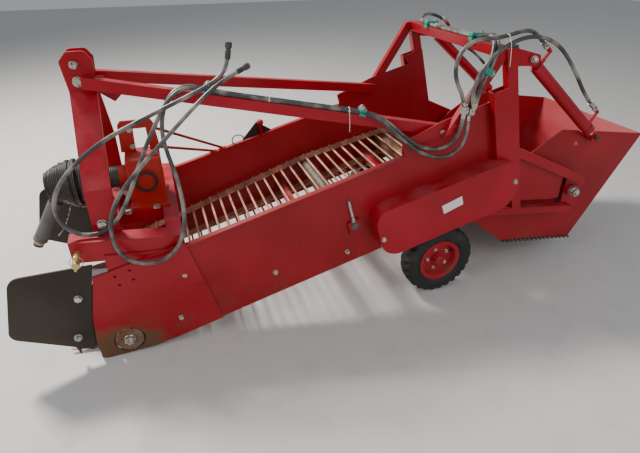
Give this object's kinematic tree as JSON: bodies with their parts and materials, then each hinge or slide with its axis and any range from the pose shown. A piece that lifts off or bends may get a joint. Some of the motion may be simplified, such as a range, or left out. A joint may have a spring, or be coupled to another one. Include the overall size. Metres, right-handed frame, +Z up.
{
  "type": "stone picker",
  "caption": "Three-point-mounted stone picker: share and sloping web of rods between side walls, chain drive, depth wheels and a rear bucket tipped by two hydraulic cylinders.",
  "frame": {"origin": "on the ground under the middle of the overall length and width, so the bottom centre of the bounding box", "axes": "+X towards the rear (the bucket), +Y towards the machine's right, +Z up"},
  "size_m": [3.1838, 1, 1.2915],
  "materials": {
    "red_paint": "gloss",
    "dark_shield": "matte",
    "rusty_rods": "rusty",
    "rusty_steel": "rusty",
    "zinc_steel": "satin",
    "chrome_rod": "polished",
    "black_plastic": "matte",
    "tyre": "matte",
    "hose_rubber": "satin"
  },
  "bodies": {
    "frame": {"side_walls": "red_paint", "front_cheeks": "red_paint", "share": "rusty_steel", "web": "rusty_rods", "front_roller": "rusty_steel", "carrying_roller": "rusty_steel", "drive_roller": "rusty_steel", "cross_members": "red_paint", "wheel_beam": "red_paint", "wheel_legs": "red_paint", "tensioners": "zinc_steel", "chain_guard": "red_paint", "uprights": "red_paint", "crossbar": "red_paint", "bottom_rails": "red_paint", "outriggers": "red_paint", "pivot_pins": "zinc_steel", "cylinder_top_pins": "zinc_steel", "shields": "dark_shield", "shield_brackets": "red_paint", "hitch_frame": "red_paint", "hitch_side_plates": "red_paint", "link_pins": "zinc_steel", "mast": "red_paint", "top_link_pin": "zinc_steel", "braces": "red_paint", "hose_tees": "zinc_steel", "gearbox": "red_paint", "gearbox_bracket": "red_paint", "drive_shaft_guard": "black_plastic", "wall_bracket": "red_paint", "feed_hose_a": "hose_rubber", "feed_hose_b": "hose_rubber", "hose_left_top": "hose_rubber", "hose_left_low": "hose_rubber", "hose_right_top": "hose_rubber", "hose_right_low": "hose_rubber"},
    "wheel_left": {"tyre_left": "tyre", "rim_left": "red_paint"},
    "wheel_right": {"tyre_right": "tyre", "rim_right": "red_paint"},
    "bucket": {"bucket": "red_paint"},
    "barrel_left": {"cylinder_barrel_left": "red_paint"},
    "rod_left": {"cylinder_rod_left": "chrome_rod"},
    "barrel_right": {"cylinder_barrel_right": "red_paint"},
    "rod_right": {"cylinder_rod_right": "chrome_rod"}
  },
  "joints": [
    {"name": "bucket_tip", "type": "hinge", "parent": "frame", "child": "bucket", "pos_m": [1.15, 0, 0.453], "axis": [0, 1, 0], "range_deg": [0, 80]},
    {"name": "wheel_left_spin", "type": "hinge", "parent": "frame", "child": "wheel_left", "pos_m": [0.368, -0.415, 0.188], "axis": [0, 1, 0], "continuous": true},
    {"name": "wheel_right_spin", "type": "hinge", "parent": "frame", "child": "wheel_right", "pos_m": [0.368, 0.415, 0.188], "axis": [0, 1, 0], "continuous": true},
    {"name": "barrel_left_swing", "type": "hinge", "parent": "frame", "child": "barrel_left", "pos_m": [0.697, -0.415, 1.163], "axis": [0, 1, 0], "range_deg": [0, 4.64]},
    {"name": "rod_left_slide", "type": "slide", "parent": "barrel_left", "child": "rod_left", "axis": [0.7725, 0, -0.635], "range_m": [0, 0.377]},
    {"name": "barrel_right_swing", "type": "hinge", "parent": "frame", "child": "barrel_right", "pos_m": [0.697, 0.415, 1.163], "axis": [0, 1, 0], "range_deg": [0, 4.64]},
    {"name": "rod_right_slide", "type": "slide", "parent": "barrel_right", "child": "rod_right", "axis": [0.7725, 0, -0.635], "range_m": [0, 0.377]}
  ],
  "couplings": [
    {"joint": "barrel_left_swing", "follows": "bucket_tip", "ratio": 0.05419},
    {"joint": "rod_left_slide", "follows": "bucket_tip", "m_per_rad": 0.26858},
    {"joint": "barrel_right_swing", "follows": "bucket_tip", "ratio": 0.05419},
    {"joint": "rod_right_slide", "follows": "bucket_tip", "m_per_rad": 0.26858}
  ]
}
